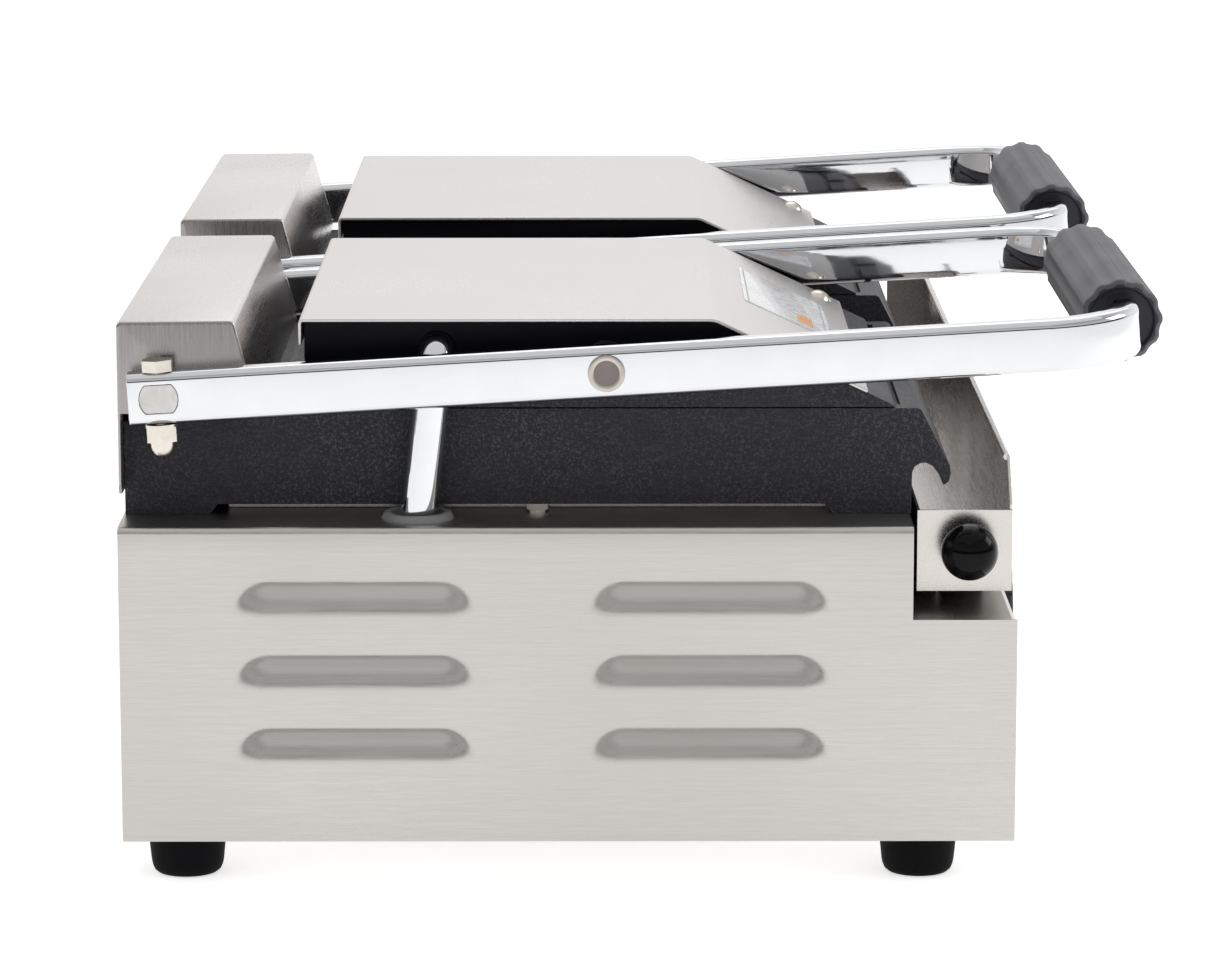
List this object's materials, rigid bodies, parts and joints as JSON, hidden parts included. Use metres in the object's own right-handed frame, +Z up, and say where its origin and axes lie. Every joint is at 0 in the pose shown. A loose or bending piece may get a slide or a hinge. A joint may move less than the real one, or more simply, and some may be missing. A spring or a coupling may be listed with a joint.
{
  "type": "panini press",
  "caption": "Countertop double contact grill with independent U-handled lids on spring hinges, self-levelling upper plates and a drip tray that slides out sideways.",
  "frame": {"origin": "on the ground plane, under the middle of the overall envelope at rest with both lids closed", "axes": "+Z up, +Y to the rear, -Y to the front panel and hand grips, -X to the user's left, where the drip tray pulls out"},
  "size_m": [0.5814, 0.408, 0.2233],
  "materials": {
    "stainless_housing": "horizontal brushed",
    "stainless_box": "brushed",
    "stainless_cover": "fine brushed",
    "stainless_tray": "brushed",
    "black_rubber": "matte",
    "bright_fasteners": "bright nickel plate",
    "shaft_steel": "turned",
    "pivot_caps": "satin",
    "black_cast_iron": "rough enamelled casting",
    "heater_sheath": "oxidised",
    "ceramic_wool": "fibrous matte",
    "grey_plastic": "satin",
    "zinc_steel": "zinc plated",
    "bronze": "sintered",
    "spring_steel": "oil blackened",
    "white_plastic": "satin",
    "lamp_lens": "translucent lens",
    "black_plastic": "satin",
    "black_phenolic": "polished",
    "chrome_tube": "mirror",
    "grip_plastic": "fine sand texture",
    "black_sheet": "semi-gloss black"
  },
  "bodies": {
    "root": {"base_housing": "stainless_housing", "front_panel": "stainless_housing", "rear_panel": "stainless_housing", "bottom_plate": "stainless_housing", "feet": "black_rubber", "foot_screws": "bright_fasteners", "panel_screws": "bright_fasteners", "left_lower_platen": "black_cast_iron", "right_lower_platen": "black_cast_iron", "platen_studs": "bright_fasteners", "element_pans": "stainless_tray", "lower_elements": "heater_sheath", "lower_insulation": "ceramic_wool", "conduit_grommets": "grey_plastic", "left_spring_box": "stainless_box", "right_spring_box": "stainless_box", "hinge_brackets": "zinc_steel", "hinge_bushes": "bronze", "torsion_springs": "spring_steel", "spring_box_screws": "bright_fasteners", "bracket_bolts": "bright_fasteners", "terminal_block": "white_plastic", "thermostats": "zinc_steel", "pilot_lamps": "lamp_lens", "rocker_frames": "black_plastic", "cable_gland": "black_plastic", "wiring_loom": "white_plastic", "tray_rails": "stainless_tray"},
    "left_lid": {"left_handle": "chrome_tube", "left_grip": "grip_plastic", "left_hinge_shaft": "shaft_steel", "left_hinge_bolts": "bright_fasteners", "left_pivot_pins": "pivot_caps"},
    "left_platen": {"left_upper_platen": "black_cast_iron", "left_upper_element": "heater_sheath", "left_upper_insulation": "ceramic_wool", "left_heat_shield": "black_sheet", "left_cover": "stainless_cover", "left_cover_screws": "bright_fasteners"},
    "left_conduit_arm": {"left_conduit": "chrome_tube"},
    "right_lid": {"right_handle": "chrome_tube", "right_grip": "grip_plastic", "right_hinge_shaft": "shaft_steel", "right_hinge_bolts": "bright_fasteners", "right_pivot_pins": "pivot_caps"},
    "right_platen": {"right_upper_platen": "black_cast_iron", "right_upper_element": "heater_sheath", "right_upper_insulation": "ceramic_wool", "right_heat_shield": "black_sheet", "right_cover": "stainless_cover", "right_cover_screws": "bright_fasteners"},
    "right_conduit_arm": {"right_conduit": "chrome_tube"},
    "tray": {"drip_tray": "stainless_tray", "tray_knob": "black_phenolic"},
    "left_dial_body": {"left_dial": "black_plastic", "left_spindle": "shaft_steel"},
    "right_dial_body": {"right_dial": "black_plastic", "right_spindle": "shaft_steel"},
    "left_switch": {"left_rocker": "black_plastic"},
    "right_switch": {"right_rocker": "black_plastic"}
  },
  "joints": [
    {"name": "left_lid_hinge", "type": "hinge", "parent": "root", "child": "left_lid", "pos_m": [-0.148, 0.17869, 0.1858], "axis": [-1, 0, 0], "range_deg": [0, 60]},
    {"name": "left_platen_pivot", "type": "hinge", "parent": "left_lid", "child": "left_platen", "pos_m": [-0.148, 0.01049, 0.19565], "axis": [1, 0, 0], "range_deg": [0, 7.2]},
    {"name": "left_conduit_swivel", "type": "hinge", "parent": "left_platen", "child": "left_conduit_arm", "pos_m": [-0.252, 0.07499, 0.2], "axis": [1, 0, 0], "range_deg": [0, 24]},
    {"name": "right_lid_hinge", "type": "hinge", "parent": "root", "child": "right_lid", "pos_m": [0.148, 0.17869, 0.1858], "axis": [-1, 0, 0], "range_deg": [0, 60]},
    {"name": "right_platen_pivot", "type": "hinge", "parent": "right_lid", "child": "right_platen", "pos_m": [0.148, 0.01049, 0.19565], "axis": [1, 0, 0], "range_deg": [0, 7.2]},
    {"name": "right_conduit_swivel", "type": "hinge", "parent": "right_platen", "child": "right_conduit_arm", "pos_m": [0.252, 0.07499, 0.2], "axis": [1, 0, 0], "range_deg": [0, 24]},
    {"name": "tray_slide", "type": "slide", "parent": "root", "child": "tray", "axis": [-1, 0, 0], "range_m": [0, 0.4]},
    {"name": "left_dial_turn", "type": "hinge", "parent": "root", "child": "left_dial_body", "pos_m": [-0.064, -0.15001, 0.06], "axis": [0, 1, 0], "range_deg": [0, 270]},
    {"name": "left_switch_rock", "type": "hinge", "parent": "root", "child": "left_switch", "pos_m": [-0.122, -0.13951, 0.06], "axis": [-1, 0, 0], "range_deg": [0, 20]},
    {"name": "right_dial_turn", "type": "hinge", "parent": "root", "child": "right_dial_body", "pos_m": [0.064, -0.15001, 0.06], "axis": [0, 1, 0], "range_deg": [0, 270]},
    {"name": "right_switch_rock", "type": "hinge", "parent": "root", "child": "right_switch", "pos_m": [0.122, -0.13951, 0.06], "axis": [-1, 0, 0], "range_deg": [0, 20]}
  ],
  "couplings": [
    {"joint": "left_platen_pivot", "follows": "left_lid_hinge", "ratio": 0.12},
    {"joint": "left_conduit_swivel", "follows": "left_lid_hinge", "ratio": 0.4},
    {"joint": "right_platen_pivot", "follows": "right_lid_hinge", "ratio": 0.12},
    {"joint": "right_conduit_swivel", "follows": "right_lid_hinge", "ratio": 0.4}
  ]
}
